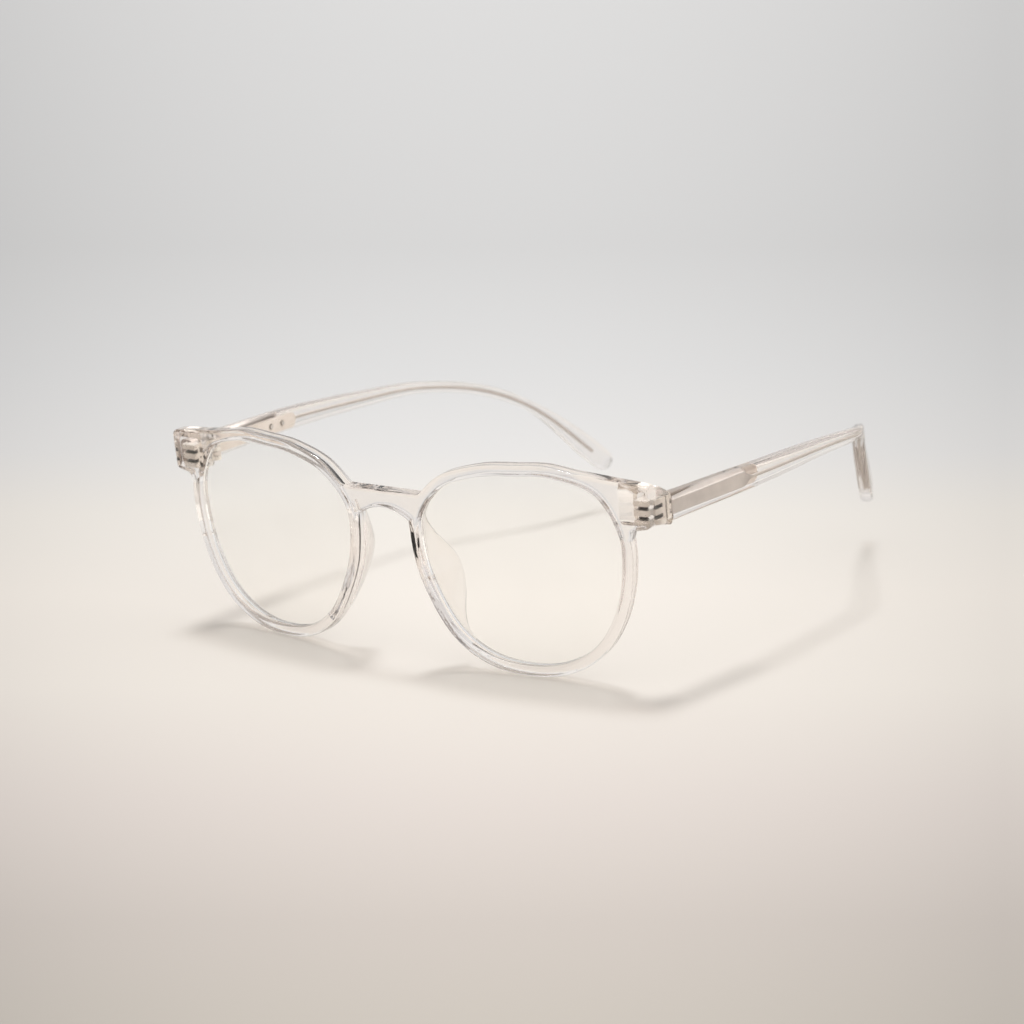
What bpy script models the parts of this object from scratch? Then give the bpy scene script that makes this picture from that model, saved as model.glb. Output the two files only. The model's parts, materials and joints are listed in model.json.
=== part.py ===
"""Blue light glasses: a clear acetate keyhole frame, open, standing on its rims.

Model frame: metres, +Z up. The wearer looks along -Y and the temples run back along +Y, so the
wearer's left is +X. The origin is the middle of the bridge's front face. Every piece is drawn in
millimetres in the front's own upright frame, and one empty leans that frame forward to its rest.
"""

import math

import bmesh
import bpy
from mathutils import Matrix, Vector

MM = 0.001
GAP = 0.3                       # room between neighbouring pieces

# Front, seen from ahead, in mm; heights are from the middle of the lenses.
LENS_CENTRE_X = 35.0            # half the distance between the lens centres
RIM_WIDTH = 2.5                 # front width of the acetate round a lens
FRONT_DEPTH = 3.8               # front to back
BRIDGE_TOP_Z = 17.7
BRIDGE_ARCH_Z = 13.6            # crown of the keyhole
BRIDGE_FLAT = 8.0               # half width of the flat middle of the front
BEND_RADIUS = 100.0             # each side of the front is bent back on this radius
BEND_ANGLE = math.radians(8.0)
LEAN = math.radians(4.9)        # the top of the front leans forward at rest
EDGE_ROUND = 0.8
SHORTEST_EDGE = 0.2

# Rim outline about its lens centre: x towards the temple, z up.
RIM_OUTLINE = (
    (25.7, 3.0), (25.3, 13.3), (19.5, 22.5), (8.9, 25.9), (-0.8, 25.9), (-10.2, 25.1), (-20.2, 21.7),
    (-27.2, 13.3), (-27.2, 2.5), (-23.6, -7.0), (-18.1, -14.9), (-10.1, -20.0), (-0.8, -21.6),
    (8.7, -20.4), (17.2, -15.5), (22.9, -7.2),
)

# End piece, where the temple meets the front.
END_X = 66.1
END_TOP_Z = 23.0
END_BOTTOM_Z = 13.9
END_INNER_X = 56.8              # the inner side slants from here
END_INNER_BACK_X = 59.3         # to here at the joint
JOINT_Y = 14.5                  # back face of the end piece
JOINT_TOP_Z = 20.4
JOINT_BOTTOM_Z = 12.9

# Lens
LENS_THICKNESS = 1.5
LENS_SEAT = 0.6                 # how far the lens edge enters the rim

# Hinge
PIVOT_X = 60.5
PIVOT_Y = 16.6
PIVOT_Z = 16.6
KNUCKLE_RADIUS = 1.25
KNUCKLE_PITCH = 1.1             # five knuckles, one above the other
KNUCKLE_GAP = 0.12
SCREW_RADIUS = 0.5
SCREW_HEAD_RADIUS = 0.95
FOOT_INNER_X = 60.0             # the foot sunk in the end piece, seen through it as three prongs
FOOT_OUTER_X = 63.9
FOOT_DEPTH = 3.8

# Temple: its centre line, straight as far as the second point, then heights and thicknesses by
# the distance from the joint.
TEMPLE_PATH = (
    (64.3, JOINT_Y + GAP, PIVOT_Z), (65.8, 47.0, 14.4), (64.6, 76.0, 11.7), (62.8, 97.0, 9.0),
    (54.9, 113.0, 4.6), (47.2, 126.0, -4.0), (38.8, 143.4, -22.7),
)
TEMPLE_HEIGHTS = (
    (0.0, 6.1), (35.0, 5.2), (80.0, 3.0), (92.0, 2.6), (105.0, 2.6), (116.0, 2.7), (126.0, 4.1),
    (137.0, 5.5), (150.0, 5.2),
)
TEMPLE_THICKNESSES = ((0.0, 3.8), (42.0, 3.8), (90.0, 2.5), (115.0, 3.0), (150.0, 3.2))
TEMPLE_STATIONS = 44
TIP_ROUND = 3.0                 # length over which the tip rounds off

# Metal core in the temple, and the hinge leaf on its inner face.
CORE_PADDLE_LENGTH = 31.0
CORE_PADDLE_FADE = 3.0          # length over which it narrows to the wire
CORE_PADDLE_HEIGHT = 3.2
CORE_THICKNESS = 0.9
CORE_WIRE = 0.8
CORE_OUTWARD = 0.35             # the paddle lies this far outside the middle of the temple
CORE_END_ROOM = 7.0             # the wire stops this far short of the tip
CORE_STATIONS = 60
LEAF_LENGTH = 34.0
LEAF_HEIGHT = 3.6
LEAF_THICKNESS = 0.9
LEAF_PROUD = 0.4                # how far the leaf stands out of the temple's inner face
RIVETS = (24.2, 28.6)           # distances back from the joint
RIVET_RADIUS = 0.55
LEAF_INNER = -TEMPLE_THICKNESSES[0][1] / 2 - LEAF_PROUD     # from the temple's middle plane
LEAF_OUTER = LEAF_INNER + LEAF_THICKNESS

# Nose pad: a fin along the nasal side of the rim's back.
PAD_DEPTH = 7.2
PAD_WIDTH = 2.9
PAD_SPLAY = 3.0                 # the back edge stands further out than the root
PAD_START = 152.0               # angles round the lens centre, in degrees
PAD_END = 226.0
PAD_STATIONS = 20


def smoothstep(value):
    value = min(max(value, 0.0), 1.0)
    return value * value * (3.0 - 2.0 * value)


def interpolate(table, value):
    """A value from a short table of (place, value) pairs."""
    for (start, low), (end, high) in zip(table, table[1:]):
        if value <= end:
            return low + (high - low) * (value - start) / (end - start)
    return table[-1][1]


def catmull_rom(before, start, end, after, t):
    """A point between start and end on a curve that passes through all four."""
    return 0.5 * (
        2.0 * start
        + (end - before) * t
        + (2.0 * before - 5.0 * start + 4.0 * end - after) * t * t
        + (3.0 * start - before - 3.0 * end + after) * t * t * t
    )


def closed_curve(points, per_span):
    points = [Vector(point) for point in points]
    count = len(points)
    return [
        catmull_rom(points[i - 1], points[i], points[(i + 1) % count], points[(i + 2) % count], k / per_span)
        for i in range(count)
        for k in range(per_span)
    ]


def temple_path(per_span=60):
    """The temple's centre line: a straight run, then a smooth curve that leaves it in line."""
    points = [Vector(point) for point in TEMPLE_PATH]
    straight = (points[1] - points[0]).normalized()
    lead = points[1] - straight * (points[2] - points[1]).length
    padded = [lead, *points[1:], 2 * points[-1] - points[-2]]
    found = [points[0].lerp(points[1], k / per_span) for k in range(per_span)]
    found += [
        catmull_rom(*padded[span:span + 4], k / per_span)
        for span in range(len(points) - 2)
        for k in range(per_span)
    ]
    return [*found, points[-1]]


def temple_frame():
    """Origin at the joint; x outwards, y back along the temple's straight run, z up; millimetres."""
    start = Vector(TEMPLE_PATH[0])
    along = (Vector(TEMPLE_PATH[1]) - start).normalized()
    outward = along.cross(Vector((0, 0, 1))).normalized()
    up = outward.cross(along)
    turned = Matrix((outward, along, up)).transposed().to_4x4()
    return Matrix.Translation(start) @ turned


def lengths_along(path):
    """The distance from the path's start to each of its points."""
    total = 0.0
    found = [0.0]
    for start, end in zip(path, path[1:]):
        total += (end - start).length
        found.append(total)
    return found


def evenly_spaced(path, start, end, count):
    """Points at equal steps along a path, with the distance of each from the path's start."""
    lengths = lengths_along(path)
    found = []
    span = 0
    for i in range(count):
        wanted = start + (end - start) * i / (count - 1)
        while span < len(path) - 2 and lengths[span + 1] < wanted:
            span += 1
        share = (wanted - lengths[span]) / (lengths[span + 1] - lengths[span])
        found.append((path[span].lerp(path[span + 1], share), wanted))
    return found


def offset_loop(loop, distance):
    """The closed loop moved inwards by a distance; the loop runs anticlockwise."""
    moved = []
    for i, point in enumerate(loop):
        along = (loop[(i + 1) % len(loop)] - loop[i - 1]).normalized()
        moved.append(point + distance * Vector((-along.y, along.x)))
    return moved


def round_corner(before, corner, after, radius, steps=4):
    """An arc in place of a corner, tangent to both of its sides."""
    back = (before - corner).normalized()
    forth = (after - corner).normalized()
    half = math.acos(max(-1.0, min(1.0, back.dot(forth)))) / 2
    reach = radius / math.tan(half)
    start = corner + back * reach
    end = corner + forth * reach
    centre = corner + (back + forth).normalized() * (radius / math.sin(half))
    first = math.atan2(start.y - centre.y, start.x - centre.x)
    turn = math.atan2(end.y - centre.y, end.x - centre.x) - first
    turn = (turn + math.pi) % (2 * math.pi) - math.pi
    return [
        centre + radius * Vector((math.cos(first + turn * k / steps), math.sin(first + turn * k / steps)))
        for k in range(steps + 1)
    ]


def rim_loop(inwards, per_span=4):
    """The rim's outline, offset inwards, about its lens centre."""
    return offset_loop(closed_curve(RIM_OUTLINE, per_span), inwards)


def clock(point):
    """The anticlockwise angle of a point about its lens centre, in degrees."""
    return math.degrees(math.atan2(point.y, point.x)) % 360


def front_half():
    """The right-hand half of the front's outer outline, from the bridge's top to the keyhole's crown."""
    rim = sorted(rim_loop(0.0), key=lambda point: -clock(point))
    shift = Vector((LENS_CENTRE_X, 0.0))
    top = [point + shift for point in rim if 62 <= clock(point) <= 138]
    temporal = [point + shift for point in rim if clock(point) <= 24]
    lower = [point + shift for point in rim if clock(point) >= 162]
    notch = Vector((10.2, BRIDGE_TOP_Z))
    end_top = Vector((END_X, END_TOP_Z))
    end_bottom = Vector((END_X - 0.4, END_BOTTOM_Z))
    end_root = Vector((61.4, 13.2))
    arch_side = Vector((6.9, 11.3))
    points = [Vector((0.0, BRIDGE_TOP_Z)), Vector((4.0, BRIDGE_TOP_Z))]
    points += round_corner(points[-1], notch, top[0], 1.6)
    points += top
    points += round_corner(top[-1], end_top, end_bottom, 1.4)
    points += round_corner(end_top, end_bottom, end_root, 1.2)
    points += round_corner(end_bottom, end_root, temporal[0], 0.9, 3)
    points += temporal
    points += lower
    points += [arch_side]
    arch_radius = (arch_side.x ** 2 + (BRIDGE_ARCH_Z - arch_side.y) ** 2) / 2 / (BRIDGE_ARCH_Z - arch_side.y)
    reach = math.asin(arch_side.x / arch_radius)
    for k in range(1, 6):
        angle = reach * (1 - k / 5)
        points.append(Vector((
            arch_radius * math.sin(angle),
            BRIDGE_ARCH_Z - arch_radius * (1 - math.cos(angle)),
        )))
    kept = points[:1]
    for point in points[1:]:
        if (point - kept[-1]).length > SHORTEST_EDGE:
            kept.append(point)
    return kept


def front_outline():
    half = front_half()
    mirrored = [Vector((-point.x, point.y)) for point in half[-2:0:-1]]
    return half + mirrored


def add_object(name, mesh, collection, material=None):
    obj = bpy.data.objects.new(name, mesh)
    collection.objects.link(obj)
    if material:
        obj.data.materials.append(material)
    return obj


def remove(obj):
    bpy.data.objects.remove(obj, do_unlink=True)


def plate(name, loops, near, far, collection, rounding=0.0):
    """A flat plate whose outline is drawn in x and z, between two depths; inner loops are holes."""
    curve = bpy.data.curves.new(name, "CURVE")
    curve.dimensions = "2D"
    curve.fill_mode = "BOTH"
    curve.extrude = ((far - near) / 2 - rounding) * MM
    curve.bevel_depth = rounding * MM
    curve.bevel_resolution = 1
    curve.offset = -rounding * MM
    for loop in loops:
        spline = curve.splines.new("POLY")
        spline.points.add(len(loop) - 1)
        for point, place in zip(spline.points, loop):
            point.co = (place[0] * MM, place[1] * MM, 0.0, 1.0)
        spline.use_cyclic_u = True
    drawn = add_object(name + "_curve", curve, collection)
    mesh = evaluated_mesh(drawn)
    upright = Matrix.Rotation(math.radians(90), 4, "X")
    mesh.transform(Matrix.Translation((0, (near + far) / 2 * MM, 0)) @ upright)
    remove(drawn)
    weld(mesh)
    return add_object(name, mesh, collection)


def evaluated_mesh(obj):
    bpy.context.view_layer.update()
    graph = bpy.context.evaluated_depsgraph_get()
    return bpy.data.meshes.new_from_object(obj.evaluated_get(graph), depsgraph=graph)


def weld(mesh):
    work = bmesh.new()
    work.from_mesh(mesh)
    bmesh.ops.remove_doubles(work, verts=work.verts, dist=0.000005)
    bmesh.ops.recalc_face_normals(work, faces=work.faces)
    work.to_mesh(mesh)
    work.free()


def apply_modifiers(obj):
    mesh = evaluated_mesh(obj)
    old = obj.data
    obj.modifiers.clear()
    obj.data = mesh
    bpy.data.meshes.remove(old)


def boolean(obj, other, operation):
    """Joins or cuts with another solid, which is then removed."""
    step = obj.modifiers.new("join_or_cut", "BOOLEAN")
    step.operation = operation
    step.object = other
    apply_modifiers(obj)
    remove(other)


def bend(obj):
    """Bends each side of the front back, past its flat middle, on one radius and then straight."""
    mesh = obj.data
    work = bmesh.new()
    work.from_mesh(mesh)
    arc = BEND_RADIUS * BEND_ANGLE
    cuts = [BRIDGE_FLAT + arc * k / 5 for k in range(6)]
    for x in cuts:
        for side in (-1, 1):
            geometry = [*work.verts, *work.edges, *work.faces]
            bmesh.ops.bisect_plane(
                work, geom=geometry, dist=1e-7, plane_co=(side * x * MM, 0, 0), plane_no=(1, 0, 0)
            )
    for vert in work.verts:
        vert.co = bent(vert.co / MM) * MM
    bmesh.ops.recalc_face_normals(work, faces=work.faces)
    work.to_mesh(mesh)
    work.free()


def bent(point):
    """Where a point of the flat front goes when the front is bent; mm."""
    side = math.copysign(1.0, point.x)
    along = abs(point.x) - BRIDGE_FLAT
    if along <= 0:
        return point.copy()
    arc = min(along / BEND_RADIUS, BEND_ANGLE)
    straight = max(along - BEND_RADIUS * BEND_ANGLE, 0.0)
    radius = BEND_RADIUS - point.y
    x = BRIDGE_FLAT + radius * math.sin(arc) + straight * math.cos(arc)
    y = BEND_RADIUS - radius * math.cos(arc) + straight * math.sin(arc)
    return Vector((side * x, y, point.z))


def solid_from_rings(name, rings, collection, closed=False):
    """A loft through rings of points with the same count, in mm, capped unless it closes on itself."""
    work = bmesh.new()
    loops = [[work.verts.new(point * MM) for point in ring] for ring in rings]
    count = len(loops[0])
    pairs = list(zip(loops, loops[1:]))
    if closed:
        pairs.append((loops[-1], loops[0]))
    for low, high in pairs:
        for i in range(count):
            j = (i + 1) % count
            work.faces.new((low[i], low[j], high[j], high[i]))
    if not closed:
        work.faces.new(loops[0][::-1])
        work.faces.new(loops[-1])
    bmesh.ops.recalc_face_normals(work, faces=work.faces)
    mesh = bpy.data.meshes.new(name)
    work.to_mesh(mesh)
    work.free()
    return add_object(name, mesh, collection)


def box(name, low, high, collection):
    """A box between two corners, in mm."""
    low, high = Vector(low), Vector(high)
    work = bmesh.new()
    bmesh.ops.create_cube(work, size=1.0)
    size = high - low
    bmesh.ops.scale(work, verts=work.verts, vec=[abs(value) * MM for value in size])
    bmesh.ops.translate(work, verts=work.verts, vec=(low + high) / 2 * MM)
    mesh = bpy.data.meshes.new(name)
    work.to_mesh(mesh)
    work.free()
    return add_object(name, mesh, collection)


def cylinder(name, centre, radius, bottom, top, collection, segments=24):
    """An upright cylinder between two heights, in mm."""
    work = bmesh.new()
    bmesh.ops.create_cone(
        work, cap_ends=True, segments=segments, radius1=radius * MM, radius2=radius * MM,
        depth=(top - bottom) * MM,
    )
    bmesh.ops.translate(work, verts=work.verts, vec=Vector((centre[0], centre[1], (top + bottom) / 2)) * MM)
    mesh = bpy.data.meshes.new(name)
    work.to_mesh(mesh)
    work.free()
    return add_object(name, mesh, collection)


def rounded_section(height, thickness, corner, steps=3):
    """A rounded rectangle of (across, up) pairs about its middle."""
    across = thickness / 2 - corner
    up = height / 2 - corner
    points = []
    for quarter, (sx, sy) in enumerate(((1, 1), (-1, 1), (-1, -1), (1, -1))):
        for k in range(steps + 1):
            angle = math.radians(90 * quarter + 90 * k / steps)
            points.append((sx * across + corner * math.cos(angle), sy * up + corner * math.sin(angle)))
    return points


def sweep(name, stations, section_at, collection):
    """Sections set square to a path; section_at gives (outward, up) pairs for a distance along it."""
    rings = []
    for i, (place, distance) in enumerate(stations):
        ahead = stations[min(i + 1, len(stations) - 1)][0]
        behind = stations[max(i - 1, 0)][0]
        along = (ahead - behind).normalized()
        outward = along.cross(Vector((0, 0, 1))).normalized()
        up = outward.cross(along)
        ring = [place + outward * a + up * b for a, b in section_at(distance)]
        if i == 0:
            ring = [point + along * ((place.y - point.y) / along.y) for point in ring]
        rings.append(ring)
    return solid_from_rings(name, rings, collection)


def temple_solid(name, collection):
    path = temple_path()
    length = lengths_along(path)[-1]
    stations = evenly_spaced(path, 0.0, length - TIP_ROUND, TEMPLE_STATIONS)
    for share in (0.45, 0.75, 0.93, 1.0):
        stations += evenly_spaced(path, length - TIP_ROUND * (1.0 - share), length, 2)[:1]

    def section(distance):
        height = interpolate(TEMPLE_HEIGHTS, distance)
        thick = interpolate(TEMPLE_THICKNESSES, distance)
        into_tip = max(0.0, 1.0 - (length - distance) / TIP_ROUND)
        tip = math.sqrt(1.0 - min(into_tip, 0.97) ** 2)
        height *= tip
        thick *= 0.15 + 0.85 * tip
        return rounded_section(height, thick, min(height, thick) * 0.3)

    return sweep(name, stations, section, collection)


def core_solid(name, grow, collection):
    """The flat paddle and the wire behind it; grow makes the room that the temple leaves round it."""
    path = temple_path()
    length = lengths_along(path)[-1]
    end = length - CORE_END_ROOM
    stations = evenly_spaced(path, 0.5, end, CORE_STATIONS)
    if grow:
        stations = evenly_spaced(path, -1.0, 0.0, 2)[:1] + stations
        stations += evenly_spaced(path, end + grow, length, 2)[:1]

    def section(distance):
        paddle = 1.0 - smoothstep((distance - CORE_PADDLE_LENGTH) / CORE_PADDLE_FADE + 1.0)
        height = CORE_WIRE + (CORE_PADDLE_HEIGHT - CORE_WIRE) * paddle
        thick = CORE_WIRE + (CORE_THICKNESS - CORE_WIRE) * paddle
        drawn = rounded_section(height + 2 * grow, thick + 2 * grow, 0.3 + grow * 0.5, 2)
        return [(across + CORE_OUTWARD * paddle, up) for across, up in drawn]

    return sweep(name, stations, section, collection)


def knuckle_heights(index):
    """Bottom and top of one of the five knuckles, from the lowest."""
    middle = PIVOT_Z + (index - 2) * KNUCKLE_PITCH
    half = (KNUCKLE_PITCH - KNUCKLE_GAP) / 2
    return middle - half, middle + half


def mirrored_x(obj, side):
    """Puts a piece that was drawn on the +X side on its own side."""
    if side < 0:
        work = bmesh.new()
        work.from_mesh(obj.data)
        bmesh.ops.scale(work, verts=work.verts, vec=(-1, 1, 1))
        bmesh.ops.reverse_faces(work, faces=work.faces)
        work.to_mesh(obj.data)
        work.free()
    return obj


def hinge_bore(collection):
    low = knuckle_heights(0)[0] - 1
    high = knuckle_heights(4)[1] + 1
    return cylinder("cut_bore", (PIVOT_X, PIVOT_Y), SCREW_RADIUS + 0.12, low, high, collection, 16)


def front_hinge(name, side, parts, cutters):
    """Three knuckles on a foot that is sunk into the end piece and split into three prongs ahead."""
    low = knuckle_heights(0)[0]
    high = knuckle_heights(4)[1]
    ahead = JOINT_Y - FOOT_DEPTH
    leaf = box(name, (FOOT_INNER_X, ahead, low), (FOOT_OUTER_X, JOINT_Y - 0.2, high), parts)
    neck = box(
        "cut_neck",
        (FOOT_INNER_X, JOINT_Y - 1.1, low),
        (PIVOT_X + KNUCKLE_RADIUS, PIVOT_Y, high),
        cutters,
    )
    boolean(leaf, neck, "UNION")
    barrel = cylinder("cut_barrel", (PIVOT_X, PIVOT_Y), KNUCKLE_RADIUS + 0.002, low, high, cutters)
    boolean(leaf, barrel, "UNION")
    for index in (1, 3):
        bottom, top = knuckle_heights(index)
        slot = box(
            "cut_slot",
            (PIVOT_X - 3, JOINT_Y + 0.1, bottom - KNUCKLE_GAP),
            (PIVOT_X + 3, PIVOT_Y + 3, top + KNUCKLE_GAP),
            cutters,
        )
        boolean(leaf, slot, "DIFFERENCE")
        split = box(
            "cut_split",
            (FOOT_INNER_X - 2, ahead - 1, bottom + 0.05),
            (FOOT_OUTER_X + 1, JOINT_Y - 1.2, top - 0.05),
            cutters,
        )
        boolean(leaf, split, "DIFFERENCE")
    boolean(leaf, hinge_bore(cutters), "DIFFERENCE")
    return mirrored_x(leaf, side)


def leaf_outline(length, half, start, round_end=True):
    """The leaf's side view, along and up, from its start to its round or square end."""
    if not round_end:
        return [(start, -half), (length, -half), (length, half), (start, half)]
    outline = [(start, -half)]
    for angle in range(0, 181, 15):
        turn = math.radians(angle)
        outline.append((length - half + half * math.sin(turn), -half * math.cos(turn)))
    return [*outline, (start, half)]


def leaf_slab(name, outline, inner, outer, collection):
    """A slab on the temple's inner face, between two distances from the temple's middle plane."""
    frame = temple_frame()
    rings = [[frame @ Vector((across, along, up)) for along, up in outline] for across in (inner, outer)]
    return solid_from_rings(name, rings, collection)


def temple_hinge(name, parts, cutters):
    """A leaf with a round end on the temple's inner face, carrying two knuckles."""
    outline = leaf_outline(LEAF_LENGTH, LEAF_HEIGHT / 2, 0.5)
    leaf = leaf_slab(name, outline, LEAF_INNER, LEAF_OUTER, parts)
    reach = (temple_frame() @ Vector((LEAF_INNER + 0.4, 1.0, 0.0))).x
    for index in (1, 3):
        bottom, top = knuckle_heights(index)
        knuckle = cylinder("cut_knuckle", (PIVOT_X, PIVOT_Y), KNUCKLE_RADIUS, bottom, top, cutters)
        web = box("cut_web", (PIVOT_X, PIVOT_Y - 0.8, bottom), (reach, PIVOT_Y + 1.7, top), cutters)
        boolean(knuckle, web, "UNION")
        boolean(leaf, knuckle, "UNION")
    boolean(leaf, hinge_bore(cutters), "DIFFERENCE")
    for back in RIVETS:
        boolean(leaf, rivet("cut_rivet", back, RIVET_RADIUS + 0.2, 0.6, cutters), "DIFFERENCE")
    return leaf


def rivet(name, back, radius, longer, collection):
    """A short pin across the temple's inner face, at a distance back from the joint."""
    inner = LEAF_INNER - 0.25 - longer
    outer = LEAF_OUTER + 0.65 + longer
    pin = cylinder(name, (0, 0), radius, inner, outer, collection, 12)
    turn = Matrix.Rotation(math.radians(90), 4, "Y")
    frame = temple_frame()
    frame.translation = (frame @ Vector((0, back, 0))) * MM
    pin.data.transform(frame @ turn)
    return pin


def hinge_screw(name, side, parts, cutters):
    """A slotted screw down through the knuckles."""
    low = knuckle_heights(0)[0]
    high = knuckle_heights(4)[1]
    profile = [
        (0.0, high + 0.85), (SCREW_HEAD_RADIUS - 0.3, high + 0.75), (SCREW_HEAD_RADIUS, high + 0.45),
        (SCREW_HEAD_RADIUS, high + 0.1), (SCREW_RADIUS, high + 0.1), (SCREW_RADIUS, low + 0.1),
        (SCREW_RADIUS - 0.15, low - 0.1), (0.0, low - 0.1),
    ]
    mesh = bpy.data.meshes.new(name)
    edges = [(i, i + 1) for i in range(len(profile) - 1)]
    mesh.from_pydata([(r * MM, 0, z * MM) for r, z in profile], edges, [])
    screw = add_object(name, mesh, parts)
    turn = screw.modifiers.new("turned", "SCREW")
    turn.axis = "Z"
    turn.steps = 16
    turn.render_steps = 16
    turn.use_merge_vertices = True
    turn.merge_threshold = 0.000002
    turn.use_smooth_shade = True
    apply_modifiers(screw)
    screw.data.transform(Matrix.Translation(Vector((PIVOT_X, PIVOT_Y, 0)) * MM))
    weld(screw.data)
    slot = box(
        "cut_slot",
        (PIVOT_X - 2, PIVOT_Y - 0.15, high + 0.5),
        (PIVOT_X + 2, PIVOT_Y + 0.15, high + 2),
        cutters,
    )
    boolean(screw, slot, "DIFFERENCE")
    return mirrored_x(screw, side)


def lens(name, side, grow, thickness, collection):
    """A lens, or with grow the groove it sits in, bent with the front."""
    loop = [
        Vector((side * (point.x + LENS_CENTRE_X), point.y))
        for point in rim_loop(RIM_WIDTH - LENS_SEAT - grow)
    ]
    middle = FRONT_DEPTH / 2
    piece = plate(name, [loop], middle - thickness / 2, middle + thickness / 2, collection)
    bend(piece)
    return piece


def nose_pad(name, side, collection):
    """A fin on the back of the rim's nasal side, deepest in its middle and splayed outwards."""
    profile = (
        (-0.5, 0.0), (0.5, 0.0), (0.48, 0.45), (0.34, 0.82), (0.0, 1.0), (-0.34, 0.86), (-0.52, 0.5),
    )
    rings = []
    rim = closed_curve(RIM_OUTLINE, 40)
    for i in range(PAD_STATIONS + 1):
        t = i / PAD_STATIONS
        angle = PAD_START + (PAD_END - PAD_START) * t
        outer = min(rim, key=lambda point: abs(clock(point) - angle))
        inward = -outer.normalized()
        swell = smoothstep(t / 0.38) * smoothstep((1.0 - t) / 0.58)
        depth = 0.8 + (PAD_DEPTH - 0.8) * swell
        width = PAD_WIDTH * (0.55 + 0.45 * swell)
        root = outer + inward * (RIM_WIDTH / 2)
        ring = []
        for across, back in profile:
            lean = PAD_SPLAY * swell * back
            place = root + inward * (across * width * (1 - 0.25 * back) + lean)
            y = FRONT_DEPTH + GAP + depth * back
            flat = Vector((side * (place.x + LENS_CENTRE_X), y, place.y))
            ring.append(bent(flat))
        rings.append(ring)
    return solid_from_rings(name, rings, collection)


def end_block(side, cutters):
    """The thick end of the front that carries the hinge, from inside the front to the joint."""
    sections = (
        (9.6, END_INNER_X, END_X - 0.9, END_BOTTOM_Z + 0.1, END_TOP_Z - 0.5),
        (12.0, (END_INNER_X + END_INNER_BACK_X) / 2, END_X - 0.4, END_BOTTOM_Z - 0.3, END_TOP_Z - 0.9),
        (JOINT_Y, END_INNER_BACK_X, END_X, JOINT_BOTTOM_Z, JOINT_TOP_Z),
    )
    rings = []
    for y, inner, outer, bottom, top in sections:
        section = rounded_section(top - bottom, outer - inner, 1.0)
        rings.append([
            Vector((side * ((inner + outer) / 2 + a), y, (bottom + top) / 2 + b)) for a, b in section
        ])
    return solid_from_rings("cut_end_block", rings, cutters)


def front_frame(name, parts, cutters):
    """One acetate front: bridge, two rims and two end pieces."""
    inner = rim_loop(RIM_WIDTH)
    loops = [front_outline()]
    for side in (-1, 1):
        loops.append([Vector((side * (point.x + LENS_CENTRE_X), point.y)) for point in inner])
    front = plate(name, loops, 0.0, FRONT_DEPTH, parts, EDGE_ROUND)
    bend(front)
    low = knuckle_heights(0)[0] - GAP
    high = knuckle_heights(4)[1] + GAP
    for side in (-1, 1):
        boolean(front, end_block(side, cutters), "UNION")
        groove = lens("cut_groove", side, GAP, LENS_THICKNESS + 2 * GAP, cutters)
        boolean(front, groove, "DIFFERENCE")
        xs = sorted((side * (FOOT_INNER_X - GAP), side * (FOOT_OUTER_X + GAP)))
        socket = box(
            "cut_socket", (xs[0], JOINT_Y - FOOT_DEPTH - GAP, low), (xs[1], JOINT_Y + 1, high), cutters
        )
        boolean(front, socket, "DIFFERENCE")
    return front


def temple(name, parts, cutters):
    """The acetate temple, hollowed for its core and recessed for the hinge leaf."""
    piece = temple_solid(name, parts)
    boolean(piece, core_solid("cut_core", GAP, cutters), "DIFFERENCE")
    recess = leaf_outline(LEAF_LENGTH + GAP, LEAF_HEIGHT / 2 + GAP, -2.0, False)
    room = leaf_slab("cut_recess", recess, LEAF_INNER - 2.0, LEAF_OUTER + GAP, cutters)
    boolean(piece, room, "DIFFERENCE")
    for back in RIVETS:
        hole = rivet("cut_rivet_hole", back, RIVET_RADIUS + 0.2, 0.25, cutters)
        boolean(piece, hole, "DIFFERENCE")
    return piece


def material(name, colour, roughness, metallic, transmission=0.0):
    made = bpy.data.materials.new(name)
    made.use_nodes = True
    shader = made.node_tree.nodes["Principled BSDF"]
    shader.inputs["Base Color"].default_value = (*colour, 1.0)
    shader.inputs["Roughness"].default_value = roughness
    shader.inputs["Metallic"].default_value = metallic
    shader.inputs["Transmission Weight"].default_value = transmission
    return made


def empty(name, place, parent, collection):
    made = bpy.data.objects.new(name, None)
    made.empty_display_size = 0.01
    made.location = place
    made.parent = parent
    collection.objects.link(made)
    return made


def hang(obj, parent, pivot):
    """Parents a piece, with its mesh moved so that its origin is the parent's."""
    obj.data.transform(Matrix.Translation(-pivot))
    obj.parent = parent


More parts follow.
